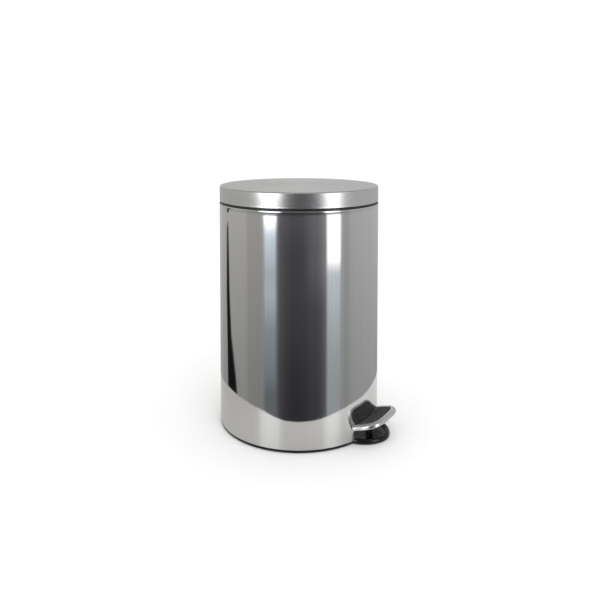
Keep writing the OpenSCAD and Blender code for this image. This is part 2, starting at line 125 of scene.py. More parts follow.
def tube_path(pts, r, sides=16, closed=False):
    """round wire along points, with frames carried along"""
    P = [Vector(p) for p in pts]; n = len(P); V = []; F = []
    t0 = (P[1] - P[0]).normalized(); up = Vector((0, 0, 1)) if abs(t0.z) < 0.9 else Vector((1, 0, 0))
    nrm = (up - t0 * up.dot(t0)).normalized()
    for i in range(n):
        t = ((P[(i + 1) % n] if (closed or i < n - 1) else P[i]) - (P[i - 1] if (closed or i > 0) else P[i])).normalized()
        nrm = (nrm - t * nrm.dot(t)).normalized(); b = t.cross(nrm)
        rr = r[i] if isinstance(r, (list, tuple)) else r
        for k in range(sides):
            q = 2 * math.pi * k / sides
            V.append(tuple(P[i] + nrm * (rr * math.cos(q)) + b * (rr * math.sin(q))))
    for i in range(n if closed else n - 1):
        j = (i + 1) % n
        for k in range(sides):
            l = (k + 1) % sides
            F.append([i * sides + k, i * sides + l, j * sides + l, j * sides + k])
    if not closed:
        F.append(list(range(sides))[::-1]); F.append([(n - 1) * sides + k for k in range(sides)])
    return V, F

def bevel_box(x0, x1, y0, y1, z0, z1, b=0.5):
    bm = bmesh.new(); bmesh.ops.create_cube(bm, size=1.0)
    for v in bm.verts:
        v.co = Vector(((x0 + x1) / 2 + v.co.x * (x1 - x0), (y0 + y1) / 2 + v.co.y * (y1 - y0), (z0 + z1) / 2 + v.co.z * (z1 - z0)))
    if b > 0: bmesh.ops.bevel(bm, geom=bm.edges[:], offset=b, segments=2, affect="EDGES", profile=0.5)
    bm.verts.index_update()
    V = [tuple(v.co) for v in bm.verts]; F = [[v.index for v in f.verts] for f in bm.faces]; bm.free()
    return V, F

def prism_x(x0, x1, outline):
    """(y, z) outline extruded along x"""
    m = len(outline)
    V = [(x0, p[0], p[1]) for p in outline] + [(x1, p[0], p[1]) for p in outline]
    F = [[k, (k + 1) % m, m + (k + 1) % m, m + k] for k in range(m)] + [list(range(m))[::-1], [m + k for k in range(m)]]
    return V, F

def boolean(ob, cutter, op="DIFFERENCE"):
    m = ob.modifiers.new("cut", "BOOLEAN"); m.operation = op; m.solver = "EXACT"; m.object = cutter
    dg = bpy.context.evaluated_depsgraph_get(); dg.update()
    new = bpy.data.meshes.new_from_object(ob.evaluated_get(dg), preserve_all_data_layers=True, depsgraph=dg)
    ob.modifiers.clear(); old = ob.data; ob.data = new; bpy.data.meshes.remove(old)

def raw(name, V, F, merge=0.0005):
    me = bpy.data.meshes.new(name); me.from_pydata([tuple(c * MM for c in v) for v in V], [], F)
    bm = bmesh.new(); bm.from_mesh(me)
    if merge: bmesh.ops.remove_doubles(bm, verts=bm.verts, dist=merge * MM)
    bmesh.ops.recalc_face_normals(bm, faces=bm.faces); bm.to_mesh(me); bm.free()
    ob = bpy.data.objects.new(name, me); scene.collection.objects.link(ob); return ob

# ------------------------------------------------------------------ materials
class M:
    def __init__(s, name, base, metallic=0.0, rough=0.4, spec=0.5, coat=0.0, coat_rough=0.1, aniso=0.0):
        s.m = bpy.data.materials.new(name); s.m.use_nodes = True
        s.t = s.m.node_tree; s.n = s.t.nodes; s.n.clear()
        s.out = s.n.new("ShaderNodeOutputMaterial"); s.b = s.n.new("ShaderNodeBsdfPrincipled")
        s.link(s.b.outputs["BSDF"], s.out.inputs["Surface"])
        s.b.inputs["Base Color"].default_value = (*base, 1); s.b.inputs["Metallic"].default_value = metallic
        s.b.inputs["Roughness"].default_value = rough; s.b.inputs["Specular IOR Level"].default_value = spec
        s.b.inputs["Coat Weight"].default_value = coat; s.b.inputs["Coat Roughness"].default_value = coat_rough
        s.b.inputs["Anisotropic"].default_value = aniso
        s.co = s.n.new("ShaderNodeTexCoord").outputs["Object"]
        s.m.diffuse_color = (*base, 1)
    def link(s, a, b): s.t.links.new(a, b)
    def math(s, op, a, b=None, clamp=False):
        n = s.n.new("ShaderNodeMath"); n.operation = op; n.use_clamp = clamp
        for i, x in enumerate((a, b)):
            if x is None: continue
            if isinstance(x, (int, float)): n.inputs[i].default_value = x
            else: s.link(x, n.inputs[i])
        return n.outputs[0]
    def sep(s, v):
        n = s.n.new("ShaderNodeSeparateXYZ"); s.link(v, n.inputs[0]); return n.outputs
    def comb(s, x, y, z):
        n = s.n.new("ShaderNodeCombineXYZ")
        for i, q in enumerate((x, y, z)):
            if isinstance(q, (int, float)): n.inputs[i].default_value = q
            else: s.link(q, n.inputs[i])
        return n.outputs[0]
    def noise(s, vec=None, scale=100.0, detail=3.0, rough=0.5, dist=0.0):
        n = s.n.new("ShaderNodeTexNoise"); s.link(vec or s.co, n.inputs["Vector"])
        n.inputs["Scale"].default_value = scale; n.inputs["Detail"].default_value = detail
        n.inputs["Roughness"].default_value = rough; n.inputs["Distortion"].default_value = dist
        return n.outputs["Fac"]
    def voronoi(s, vec=None, scale=100.0, feature="F1"):
        n = s.n.new("ShaderNodeTexVoronoi"); n.feature = feature; s.link(vec or s.co, n.inputs["Vector"])
        n.inputs["Scale"].default_value = scale; return n.outputs["Distance"]
    def remap(s, f, a, b, lo=0.0, hi=1.0):
        n = s.n.new("ShaderNodeMapRange"); s.link(f, n.inputs["Value"])
        n.inputs["From Min"].default_value = lo; n.inputs["From Max"].default_value = hi
        n.inputs["To Min"].default_value = a; n.inputs["To Max"].default_value = b; return n.outputs["Result"]
    def rough(s, f, a, b, lo=0.3, hi=0.7): s.link(s.remap(f, a, b, lo, hi), s.b.inputs["Roughness"]); return s
    def ramp(s, f, stops):
        n = s.n.new("ShaderNodeValToRGB"); s.link(f, n.inputs["Fac"]); e = n.color_ramp.elements
        while len(e) < len(stops): e.new(0.5)
        for k, (p, c) in enumerate(stops): e[k].position = p; e[k].color = (*c, 1)
        return n.outputs["Color"]
    def color(s, f, stops): s.link(s.ramp(f, stops), s.b.inputs["Base Color"]); return s
    def bump(s, f, strength, dist, prev=None):
        n = s.n.new("ShaderNodeBump"); n.inputs["Strength"].default_value = strength
        n.inputs["Distance"].default_value = dist; s.link(f, n.inputs["Height"])
        if prev is not None: s.link(prev, n.inputs["Normal"])
        s.last = n.outputs["Normal"]; s.link(s.last, s.b.inputs["Normal"]); return s.last

def angle_z(m, ka, kz):
    """coordinates that run round and up the body: brush lines follow them"""
    x, y, z = m.sep(m.co); a = m.math("ARCTAN2", y, x)
    return m.comb(m.math("MULTIPLY", a, ka), 0.0, m.math("MULTIPLY", z, kz))

# polished stainless steel of the body: near mirror, with faint rolling streaks and light handling haze
mirror = M("steel_mirror", (0.66, 0.66, 0.655), 1.0, 0.045)
streak = mirror.noise(angle_z(mirror, 46.0, 2.2), 1.0, 4.0, 0.6)
haze = mirror.noise(None, 9.0, 4.0, 0.62, 0.6)
both = mirror.math("MULTIPLY", streak, haze)
mirror.rough(both, 0.035, 0.085, 0.12, 0.42)
mirror.color(streak, [(0.3, (0.630, 0.632, 0.630)), (0.7, (0.680, 0.680, 0.674))])
fine = mirror.noise(angle_z(mirror, 420.0, 9.0), 1.0, 3.0, 0.6)
b0 = mirror.bump(fine, 0.012, 0.0004)
mirror.bump(mirror.noise(angle_z(mirror, 5.0, 7.0), 1.0, 2.0, 0.5), 0.10, 0.0006, b0)

# satin lid: brush lines run round the wall and straight across the top
brushed = M("steel_brushed", (0.63, 0.63, 0.62), 1.0, 0.28, aniso=0.35)
bx, by, bz = brushed.sep(brushed.co)
ring = brushed.noise(angle_z(brushed, 9.0, 9000.0), 1.0, 5.0, 0.65)
line = brushed.noise(brushed.comb(brushed.math("MULTIPLY", bx, 16.0), brushed.math("MULTIPLY", by, 5200.0), 0.0), 1.0, 5.0, 0.65)
nz = brushed.sep(brushed.n.new("ShaderNodeTexCoord").outputs["Normal"])[2]
top = brushed.remap(nz, 0.0, 1.0, 0.55, 0.85)
mixn = brushed.n.new("ShaderNodeMix"); mixn.data_type = "FLOAT"
brushed.link(top, mixn.inputs["Factor"]); brushed.link(ring, mixn.inputs["A"]); brushed.link(line, mixn.inputs["B"])
grain = mixn.outputs["Result"]
brushed.rough(grain, 0.22, 0.34)
brushed.color(grain, [(0.2, (0.605, 0.607, 0.605)), (0.8, (0.645, 0.645, 0.64))])
brushed.bump(grain, 0.04, 0.00003)
tan = brushed.n.new("ShaderNodeTangent"); tan.direction_type = "RADIAL"; tan.axis = "Z"
brushed.link(tan.outputs["Tangent"], brushed.b.inputs["Tangent"])

# bright chrome of the pedal rim
chrome = M("chrome", (0.68, 0.69, 0.70), 1.0, 0.26)
cn = chrome.noise(None, 60.0, 4.0, 0.6)
chrome.rough(cn, 0.24, 0.29); chrome.color(cn, [(0.3, (0.64, 0.65, 0.66)), (0.7, (0.69, 0.70, 0.71))])
chrome.bump(chrome.noise(None, 900.0, 3.0, 0.6), 0.05, 0.0001)

def plastic(name, dark, light, ra, rb, grain_scale=2600.0, grain=0.12, coat=0.0, spec=0.45):
    m = M(name, light, 0.0, (ra + rb) / 2, spec, coat, 0.08)
    n = m.noise(None, 24.0, 4.0, 0.6); m.color(n, [(0.3, dark), (0.7, light)])
    m.rough(m.noise(None, 70.0, 4.0, 0.6), ra, rb)
    p = m.bump(m.noise(None, grain_scale, 3.0, 0.6), grain, 0.00012)
    m.bump(m.noise(None, 35.0, 2.0, 0.5), 0.06, 0.0006, p)
    return m
gloss_black = plastic("base_black", (0.003, 0.003, 0.003), (0.006, 0.006, 0.006), 0.14, 0.24, 1500.0, 0.03, 0.10, 0.26)
black = plastic("black_plastic", (0.010, 0.010, 0.011), (0.018, 0.018, 0.019), 0.34, 0.48)
grey = plastic("grey_plastic", (0.085, 0.086, 0.09), (0.115, 0.117, 0.12), 0.38, 0.52)
bucketm = plastic("bucket_plastic", (0.060, 0.062, 0.066), (0.085, 0.087, 0.092), 0.36, 0.50, 1900.0, 0.16)
nylon = plastic("natural_plastic", (0.60, 0.585, 0.53), (0.70, 0.69, 0.64), 0.40, 0.55)

rubber = M("black_rubber", (0.03, 0.03, 0.031), 0.0, 0.62, 0.35)
rn = rubber.noise(None, 420.0, 5.0, 0.7)
pebble = rubber.voronoi(None, 340.0)
rubber.color(rubber.math("ADD", rubber.math("MULTIPLY", pebble, 0.8), rubber.math("MULTIPLY", rn, 0.35)), [(0.28, (0.125, 0.125, 0.126)), (0.66, (0.022, 0.022, 0.0225))])
rubber.rough(rubber.noise(None, 420.0, 3.0, 0.6), 0.42, 0.62)
rp = rubber.bump(rubber.voronoi(None, 1500.0), 0.35, 0.00012)
rubber.bump(rubber.noise(None, 3800.0, 2.0, 0.6), 0.25, 0.00008, rp)

zinc = M("zinc_steel", (0.50, 0.51, 0.52), 0.95, 0.32)
zn = zinc.voronoi(None, 260.0)
zinc.color(zn, [(0.0, (0.42, 0.43, 0.445)), (0.6, (0.56, 0.57, 0.575))])
zinc.rough(zinc.noise(None, 300.0, 4.0, 0.6), 0.25, 0.42)
zinc.bump(zinc.noise(None, 1400.0, 3.0, 0.6), 0.10, 0.00008)

slot_mat = {"steel_mirror": mirror, "steel_brushed": brushed, "chrome": chrome, "base_black": gloss_black, "black_plastic": black,
            "grey_plastic": grey, "bucket_plastic": bucketm, "natural_plastic": nylon, "black_rubber": rubber, "zinc_steel": zinc}
for sp in frame["record"]["subparts"]:
    ob = nodes_cad[sp["node"]]
    ob.data.materials.clear(); ob.data.materials.append(slot_mat[sp["material_slot"]].m)

# ------------------------------------------------------------------ body shell
def body_shell():
    rear = math.degrees(math.asin(26 / R)); front = math.degrees(math.asin(14 / R))
    angs = sorted(set([round(i * 1.25, 4) for i in range(288)] + [90 - rear, 90 + rear, 270 - front, 270 + front]))
    prof = [(R, 5.6), (R, 6.4), (R, 34.5), (R, 384.0), (R, 400.5), (R, 404.6)]
    for i in range(1, 8):                                   # rolled bead at the top edge
        t = i / 8; prof.append((R + 0.42 * math.sin(math.pi * t) ** 0.7, 405.2 + 3.5 * t))
    prof += [(R - 0.05, 408.9), (R - 0.35, 409.0)]
    V = []; F = []; m = len(prof); n = len(angs)
    for a in angs:
        c, s = math.cos(math.radians(a)), math.sin(math.radians(a)); V += [(r * c, r * s, z) for r, z in prof]
    for i in range(n):
        j = (i + 1) % n; mid = (angs[i] + (angs[j] if j else angs[j] + 360)) / 2
        for k in range(m - 1):
            zm = (prof[k][1] + prof[k + 1][1]) / 2
            if abs(mid - 90) < rear and zm > 384: continue
            if abs(mid - 270) < front and zm < 34.5: continue
            F.append([i * m + k, j * m + k, j * m + k + 1, i * m + k + 1])
    ob = make("body_shell_skin", V, F, None, None, merge=0.0001)
    sol = ob.modifiers.new("wall", "SOLIDIFY"); sol.thickness = 0.6 * MM; sol.offset = -1.0; sol.use_even_offset = True
    dg = bpy.context.evaluated_depsgraph_get(); dg.update()
    new = bpy.data.meshes.new_from_object(ob.evaluated_get(dg)); ob.modifiers.clear(); ob.data = new
    finish_mesh(ob, 35); new.materials.append(mirror.m)
    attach(ob, "casing"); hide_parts("body_shell")
body_shell()

# ------------------------------------------------------------------ top ring and rim plugs
def top_ring():
    out = [(134.0, 389.8), (146.2, 389.8), (146.2, 408.85), (144.8, 408.85), (144.8, 412.2), (143.2, 412.2), (143.2, 392.3), (134.0, 392.3)]
    prof = rounded(out, [0.6, 0.4, 0.3, 0.2, 0.6, 0.6, 0.8, 0.6], 4)
    d = math.degrees(math.asin(31 / 143.0))
    V, F = lathe(prof, 300, 90 + d, 450 - d)
    g = Geo().add(V, F)
    for k in range(24):                                     # small gussets under the ledge
        a = 90 + d + 8 + k * (360 - 2 * d - 16) / 23
        c, s = math.cos(math.radians(a)), math.sin(math.radians(a))
        q = [(136.0, 389.9), (145.9, 389.9), (145.9, 385.0)]
        W = [(r * c - 0.6 * s * w, r * s + 0.6 * c * w, z) for w in (-1, 1) for r, z in q]
        g.add(W, [[0, 1, 2], [3, 5, 4], [0, 3, 4, 1], [1, 4, 5, 2], [2, 5, 3, 0]])
    make("top_ring_moulding", g.v, g.f, black.m, "casing", ["top_ring"], recalc=True)
    g = Geo()
    for sgn in (-1, 1):
        a = math.radians(90 + sgn * 63.5)
        prof = [(0, R + 1.35)] + [(2.4 * math.sin(math.radians(t)), R + 0.15 + 1.2 * math.cos(math.radians(t))) for t in (15, 30, 45, 60, 75, 90)] + [(2.4, R - 0.02), (1.6, R - 0.1), (1.6, 142.4), (2.2, 142.3), (2.1, 141.2), (0, 141.0)]
        V, F = lathe(prof, 32, closed=False)
        V = [(z, x, y) for x, y, z in V]                     # axis along +X, then turned
        c, s = math.cos(a), math.sin(a)
        g.add([(x * c - y * s, x * s + y * c, z + 400.6) for x, y, z in V], F)
    make("rim_plugs", g.v, g.f, black.m, "casing", ["rim_rivets"], merge=0.001, recalc=True)
top_ring()

# ------------------------------------------------------------------ lid
def lid():
    rl = 146.8; ze = 440.4; er = 2.6; t = 0.6; hem = 413.0
    outer = [(rl - 0.25, hem + 0.02), (rl + 0.04, hem + 0.2), (rl + 0.10, hem + 0.7), (rl + 0.10, hem + 1.5), (rl + 0.05, hem + 2.0), (rl, hem + 2.35), (rl, hem + 4.0), (rl, hem + 14.0)]
    outer += arc(rl - er, ze - er, er, 0, 84, 12)
    r0 = outer[-1][0]
    crown = lambda r: ze + 1.4 * (1 - (r / (rl - er)) ** 2) if r < rl - er else ze
    outer += [(r, crown(r)) for r in (rl - er - 0.6, 141, 137, 130, 120, 105, 85, 60, 35, 15, 0)]
    inner = [(0, crown(0) - t)] + [(r, crown(r) - t) for r in (15, 35, 60, 85, 105, 120, 130, 137, 141)] + arc(rl - er, ze - er, er - t, 90, 0, 8) + [(rl - t, hem + 4.0), (rl - t, hem + 0.3), (rl - 0.45, hem)]
    V, F = lathe(outer + inner, 320)
    make("lid_shell_skin", V, F, brushed.m, "lid", ["lid_shell"], merge=0.0005, recalc=True, sharp=40)

    # inner lid: pan with a rim wall, a raised ring and radial ribs
    out = [(0, 436.6), (60, 436.6), (61.5, 435.7), (66, 435.7), (67.5, 436.6), (136, 436.6), (143.2, 433.6), (143.2, 415.0), (145.6, 415.0), (145.6, 436.8), (143.8, 438.6), (0, 438.6)]
    prof = rounded(out, [0, 0.6, 0.5, 0.5, 0.6, 3.0, 3.0, 0.7, 0.7, 0.5, 0.5, 0], 4)
    V, F = lathe(prof, 288)
    g = Geo().add(V, F)
    for k in range(12):
        a = math.radians(15 + 30 * k)
        if abs(math.degrees(a) - 90) < 20: continue
        c, s = math.cos(a), math.sin(a)
        q = [(69.0, 436.8), (69.0, 435.6), (132.0, 435.0), (139.5, 430.0), (143.4, 429.0), (143.4, 436.8)]
        W = [(r * c - 0.7 * s * w, r * s + 0.7 * c * w, z) for w in (-1, 1) for r, z in q]
        m = len(q)
        g.add(W, [list(range(m)), [m + i for i in range(m)][::-1]] + [[i, m + i, m + (i + 1) % m, (i + 1) % m] for i in range(m)])
    for a in (235, 305, 35, 145):
        V, F = lathe(rounded([(0, 415.05), (3.2, 415.05), (3.2, 436.8), (0, 436.8)], [0, 0.5, 0, 0], 3), 28)
        c, s = math.cos(math.radians(a)) * 142.4, math.sin(math.radians(a)) * 142.4
        V = [(x + c, y + s, z) for x, y, z in V]
        V = [(x, y, z) if math.hypot(x, y) < 144.6 else (x * 144.6 / math.hypot(x, y), y * 144.6 / math.hypot(x, y), z) for x, y, z in V]
        g.add(V, F)
    make("lid_liner_moulding", g.v, g.f, grey.m, "lid", ["lid_liner"], merge=0.0005, recalc=True)
lid()

# ------------------------------------------------------------------ bucket
def bucket():
    flat_o, flat_i = 127.5, 125.3
    out = [(0, 51.2), (108, 51.2), (111, 50.0), (121, 50.0), (124.0, 53.0), (131.9, 350.0), (132.4, 352.0), (133.0, 392.5), (141.0, 392.5), (141.0, 395.0), (130.8, 395.0), (130.1, 353.5), (129.6, 351.5),
           (121.8, 55.0), (118.5, 52.6), (0, 52.6)]
    prof = rounded(out, [0, 0.8, 0.8, 2.0, 2.0, 0.8, 0.8, 0.5, 1.0, 1.0, 1.2, 0.8, 0.8, 3.0, 3.0, 0], 4)
    def warp(p):
        x, y, z = p; r = math.hypot(x, y)
        if r < 1e-6 or y < 60: return p
        wall_in = 121.8 + (z - 55.0) * 8.3 / 296.5 + 0.9
        lim = flat_o + 2 if (z > 392.0 and r > 134.0) else (flat_i if (r <= min(wall_in, 131.2) and z > 52.0) else flat_o)
        return (x * lim / y, lim, z) if y > lim else p
    V, F = lathe(prof, 288, warp=warp)
    g = Geo().add(V, F)
    for s in (-1, 1):                                        # ears that carry the handle
        n = 16; o = [(-6, 394.0), (-6, 400.4)] + [(-6 * math.cos(math.pi * i / n), 400.4 + 6 * math.sin(math.pi * i / n)) for i in range(1, n)] + [(6, 400.4), (6, 394.0)]
        V, F = prism_x(min(s * 131.4, s * 133.8), max(s * 131.4, s * 133.8), o); g.add(V, F)
    make("bucket_moulding", g.v, g.f, bucketm.m, "bucket", ["inner_bucket"], merge=0.0005, recalc=True)
    # wire handle: front half circle, turned in through the ears
    pts = []; rb = 136.5; z = 400.4
    pts += [(129.4, 0.0, z), (132.0, 0.0, z), (134.6, -0.1, z), (135.9, -0.7, z), (136.4, -2.2, z)]
    for i in range(3, 178, 3):
        a = math.radians(-i); pts.append((rb * math.cos(a), rb * math.sin(a), z))
    pts += [(-136.4, -2.2, z), (-135.9, -0.7, z), (-134.6, -0.1, z), (-132.0, 0.0, z), (-129.4, 0.0, z)]
    V, F = tube_path(pts, 2.0, 20); g = Geo().add(V, F)
    for s in (-1, 1):
        V, F = lathe([(0, 0), (2.6, 0.1), (3.0, 0.6), (3.0, 1.3), (2.5, 1.8), (0, 1.8)], 28, closed=False)
        g.add([((129.2 + zz) * s, x, y + z) for x, y, zz in V], F)
    make("bail_wire", g.v, g.f, zinc.m, "bail", ["bucket_bail"], merge=0.001, recalc=True)
    pts = []; rad = []
    for i in range(-76, 77, 2):
        a = math.radians(270 + i / 4); pts.append((rb * math.cos(a), rb * math.sin(a), z))
        e = 76 - abs(i); rad.append(4.2 + 0.8 * math.sin(min(1, e / 5) * math.pi / 2) - (0.35 if (i // 4) % 3 == 0 and e > 8 else 0.0))
    V, F = tube_path(pts, rad, 28)
    make("bail_grip_sleeve", V, F, black.m, "bail", ["bail_grip"], recalc=True, sharp=50)
bucket()

# ------------------------------------------------------------------ pedal
SL = math.radians(-16.8); TZ = 35.1; REACH = 38.7; HALF = 50.8; PN = 3.1
def oval(a, b, n, steps):
    out = []
    for i in range(steps):
        # even spacing along the curve comes from a power of the angle
        t = 2 * math.pi * i / steps; c, s = math.cos(t), math.sin(t)
        out.append((b * math.copysign(abs(c) ** (2 / n), c), a * math.copysign(abs(s) ** (2 / n), s)))
    return out
def even(poly, steps):
    P = [Vector(p) for p in poly]; L = [0.0]
    for i in range(len(P)): L.append(L[-1] + (P[(i + 1) % len(P)] - P[i]).length)
    out = []; k = 0
    for i in range(steps):
        d = L[-1] * i / steps
        while L[k + 1] < d: k += 1
        f = (d - L[k]) / max(L[k + 1] - L[k], 1e-9); out.append(P[k].lerp(P[(k + 1) % len(P)], f))
    return out
def inset(P, d):
    n = len(P); out = []
    for i in range(n):
        t = (P[(i + 1) % n] - P[i - 1]).normalized(); out.append(P[i] + Vector((-t.y, t.x)) * d)
    return out
def stack(P, profile, cap_last=True, cap_first=False):
    """rings of an outline, each inset by d at height z"""
    V = []; F = []; n = len(P)
    for d, z in profile: V += [(q.x, q.y, z) for q in inset(P, d)]
    for k in range(len(profile) - 1):
        for i in range(n):
            j = (i + 1) % n; F.append([k * n + i, k * n + j, (k + 1) * n + j, (k + 1) * n + i])
    if cap_last: F.append([(len(profile) - 1) * n + i for i in range(n)])
    if cap_first: F.append([i for i in range(n)][::-1])
    return V, F
def tread(p):
    """tread frame to object frame: x across, y outward along the slope, z out of the tread"""
    x, y, z = p
    return (x, -R - (y * math.cos(SL) + z * math.sin(SL)), TZ - y * math.sin(SL) + z * math.cos(SL))
def pedal():
    P = even(oval(REACH / math.cos(SL), HALF, PN, 1440), 240)
    prof = [(0.9, -8.2), (0.35, -8.05), (0.05, -7.6), (0.0, -7.0), (0.0, -5.9)]
    prof += [(5.4 - 5.4 * math.cos(math.radians(t)), -5.4 + 5.4 * math.sin(math.radians(t))) for t in range(6, 91, 7)]
    prof += [(6.6, 0.0), (7.3, -0.05), (7.8, -0.25), (8.1, -0.65), (8.2, -1.2), (8.2, -2.2), (12, -2.2)]
    V, F = stack(P, prof)
    under = [(0.9, -8.2), (1.2, -7.8), (1.2, -5.4)] + [(5.4 - 4.2 * math.cos(math.radians(t)), -5.4 + 4.2 * math.sin(math.radians(t))) for t in range(15, 91, 15)] + [(7.0, -1.3), (7.0, -3.4), (12, -3.4)]
    V2, F2 = stack(P, under)
    g = Geo().add(V, F).add(V2, [f[::-1] for f in F2])
    ob = raw("pedal_rim", g.v, g.f, 0.001)
    for v in ob.data.vertices:
        v.co = Vector(tread(tuple(c / MM for c in v.co))) * MM
    cut = raw("cut_tmp", *lathe([(0, -20), (R + 0.7, -20), (R + 0.7, 90), (0, 90)], 360, closed=False), 0.001)
    boolean(ob, cut)
    finish_mesh(ob, 40); ob.data.materials.clear(); ob.data.materials.append(chrome.m)
    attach(ob, "pedal"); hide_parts("pedal_shell")
    # rubber tread: crowned sheet with rows of small studs
    g = Geo()
    V, F = stack(P, [(8.9, -2.15), (8.4, -1.9), (8.35, -1.1), (8.5, -0.75), (8.9, -0.55), (9.6, -0.5), (12, -0.5)], True, True); g.add(V, F)
    pad = raw("pad_tmp", g.v, g.f, 0.001)
    for v in pad.data.vertices: v.co = Vector(tread(tuple(c / MM for c in v.co))) * MM
    cut2 = raw("cut_tmp2", *lathe([(0, -20), (R + 0.8, -20), (R + 0.8, 90), (0, 90)], 360, closed=False), 0.001)
    boolean(pad, cut2)
    g = Geo(); q = [Vector((c[0], c[1])) for c in inset(P, 9.9)]
    def inside(x, y):
        w = False; n = len(q)
        for i in range(n):
            a, b = q[i], q[i - 1]
            if (a.y > y) != (b.y > y) and x < (b.x - a.x) * (y - a.y) / (b.y - a.y) + a.x: w = not w
        return w
    pitch = 3.1; row = 0; y = -12.4
    while y < 46:
        x = -54.0 + (pitch / 2 if row % 2 else 0)
        while x < 54:
            wx, wy, wz = tread((x, y, -0.5))
            if math.hypot(wx, wy) > R + 2.2 and inside(x, y):
                V = []; k = 8
                for rr, zz in ((1.05, -0.62), (0.92, -0.12), (0.55, 0.1)):
                    V += [(x + rr * math.cos(2 * math.pi * i / k + 0.39), y + rr * math.sin(2 * math.pi * i / k + 0.39), zz) for i in range(k)]
                F = [[l * k + i, l * k + (i + 1) % k, (l + 1) * k + (i + 1) % k, (l + 1) * k + i] for l in range(2) for i in range(k)] + [[2 * k + i for i in range(k)]] + [[i for i in range(k)][::-1]]
                g.add([tread(p) for p in V], F)
            x += pitch
        y += pitch * 0.866; row += 1
    studs = raw("studs_tmp", g.v, g.f, 0)
    bm = bmesh.new(); bm.from_mesh(pad.data); bm.from_mesh(studs.data)
    me = bpy.data.meshes.new("pedal_tread"); bm.to_mesh(me); bm.free()
    ob = bpy.data.objects.new("pedal_tread", me); scene.collection.objects.link(ob)
    finish_mesh(ob, 45); me.materials.clear(); me.materials.append(rubber.m)
    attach(ob, "pedal"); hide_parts("pedal_pad")
    for o in (cut, cut2, pad, studs): bpy.data.objects.remove(o)
pedal()

# ------------------------------------------------------------------ base with its tongue
def base():
    out = [(0, 2.8), (135.5, 2.8), (136.5, 1.0), (138.0, 1.0), (138.0, 2.6), (144.0, 2.6), (144.0, 1.0), (145.7, 1.0), (146.3, 1.6), (146.3, 5.5), (146.2, 5.6), (146.2, 20.0), (144.0, 20.0), (144.0, 5.4), (0, 5.4)]
    prof = rounded(out, [0, 0.5, 0.3, 0.2, 0.2, 0.2, 0.2, 0.4, 0.6, 0.1, 0.0, 0.3, 0.5, 0.8, 0], 3)
    V, F = lathe(prof, 288)
    ring = raw("base_moulding", V, F, 0.001)
    slot = raw("slot_tmp", *bevel_box(-14, 14, -150, -120, 12, 40, 0))
    boolean(ring, slot); bpy.data.objects.remove(slot)
    P = even(oval(48.5, 47.8, 1.9, 1440), 220)
    prof = [(30, 0.5), (3.0, 0.5), (1.4, 0.6), (0.5, 1.3), (0.1, 2.4), (0.0, 3.6), (0.15, 5.0), (0.6, 6.6), (1.4, 8.0), (2.5, 9.0), (3.7, 9.55), (4.8, 9.6), (5.9, 9.2), (6.9, 8.3), (7.7, 7.2), (8.6, 6.3), (10.0, 5.7), (12.5, 5.4), (30, 5.2)]
    V, F = stack(P, prof, True, True)
    V = [(x, -134.5 - y, z) for x, y, z in V]
    tongue = raw("tongue_tmp", V, F, 0.001)
    cut = raw("cut_tmp", *lathe([(0, -5), (145.9, -5), (145.9, 5.35), (147.35, 5.35), (147.35, 40), (0, 40)], 360, closed=False), 0.001)
    boolean(tongue, cut); bpy.data.objects.remove(cut)
    g = Geo()
    for s in (-1, 1):
        n = 20; o = [(-94, 5.2), (-94, 22)] + [(-86 - 8 * math.cos(math.pi * i / n), 22 + 8 * math.sin(math.pi * i / n)) for i in range(1, n)] + [(-78, 22), (-78, 5.2)]
        V, F = prism_x(min(s * 13.2, s * 19.2), max(s * 13.2, s * 19.2), o); g.add(V, F)
    g.add(*bevel_box(-9, 9, -132, -118, 5.2, 18.3, 0.5))
    for a in (40, 80, 100, 140, 220, 320):
        V, F = bevel_box(30, 143.5, -0.9, 0.9, 5.2, 8.4, 0.3); c, s = math.cos(math.radians(a)), math.sin(math.radians(a))
        g.add([(x * c - y * s, x * s + y * c, z) for x, y, z in V], F)
    V, F = lathe(rounded([(28, 5.2), (30, 5.2), (30, 8), (28, 8)], [0, 0, 0.4, 0.4], 3), 96); g.add(V, F)
    extra = raw("extra_tmp", g.v, g.f, 0)
    bm = bmesh.new()
    for o in (ring, tongue, extra): bm.from_mesh(o.data)
    me = bpy.data.meshes.new("base_moulding_mesh"); bm.to_mesh(me); bm.free()
    ring.data = me
    for o in (tongue, extra): bpy.data.objects.remove(o)
    finish_mesh(ring, 38); me.materials.clear(); me.materials.append(gloss_black.m)
    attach(ring, "casing"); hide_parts("base")
base()

# ------------------------------------------------------------------ stage
def emission(name, colour=(1, 1, 1), strength=1.0, attribute=None):
    m = bpy.data.materials.new(name); m.use_nodes = True; t = m.node_tree; t.nodes.clear()
    o = t.nodes.new("ShaderNodeOutputMaterial"); e = t.nodes.new("ShaderNodeEmission")
    e.inputs["Color"].default_value = (*colour, 1); e.inputs["Strength"].default_value = strength
    if attribute:
        a = t.nodes.new("ShaderNodeVertexColor"); a.layer_name = attribute; t.links.new(a.outputs["Color"], e.inputs["Color"])
    t.links.new(e.outputs["Emission"], o.inputs["Surface"]); return m

def glossy_only(ob):
    ob.visible_camera = False; ob.visible_diffuse = False; ob.visible_shadow = False
    ob.visible_transmission = False; ob.visible_volume_scatter = False; ob.visible_glossy = True

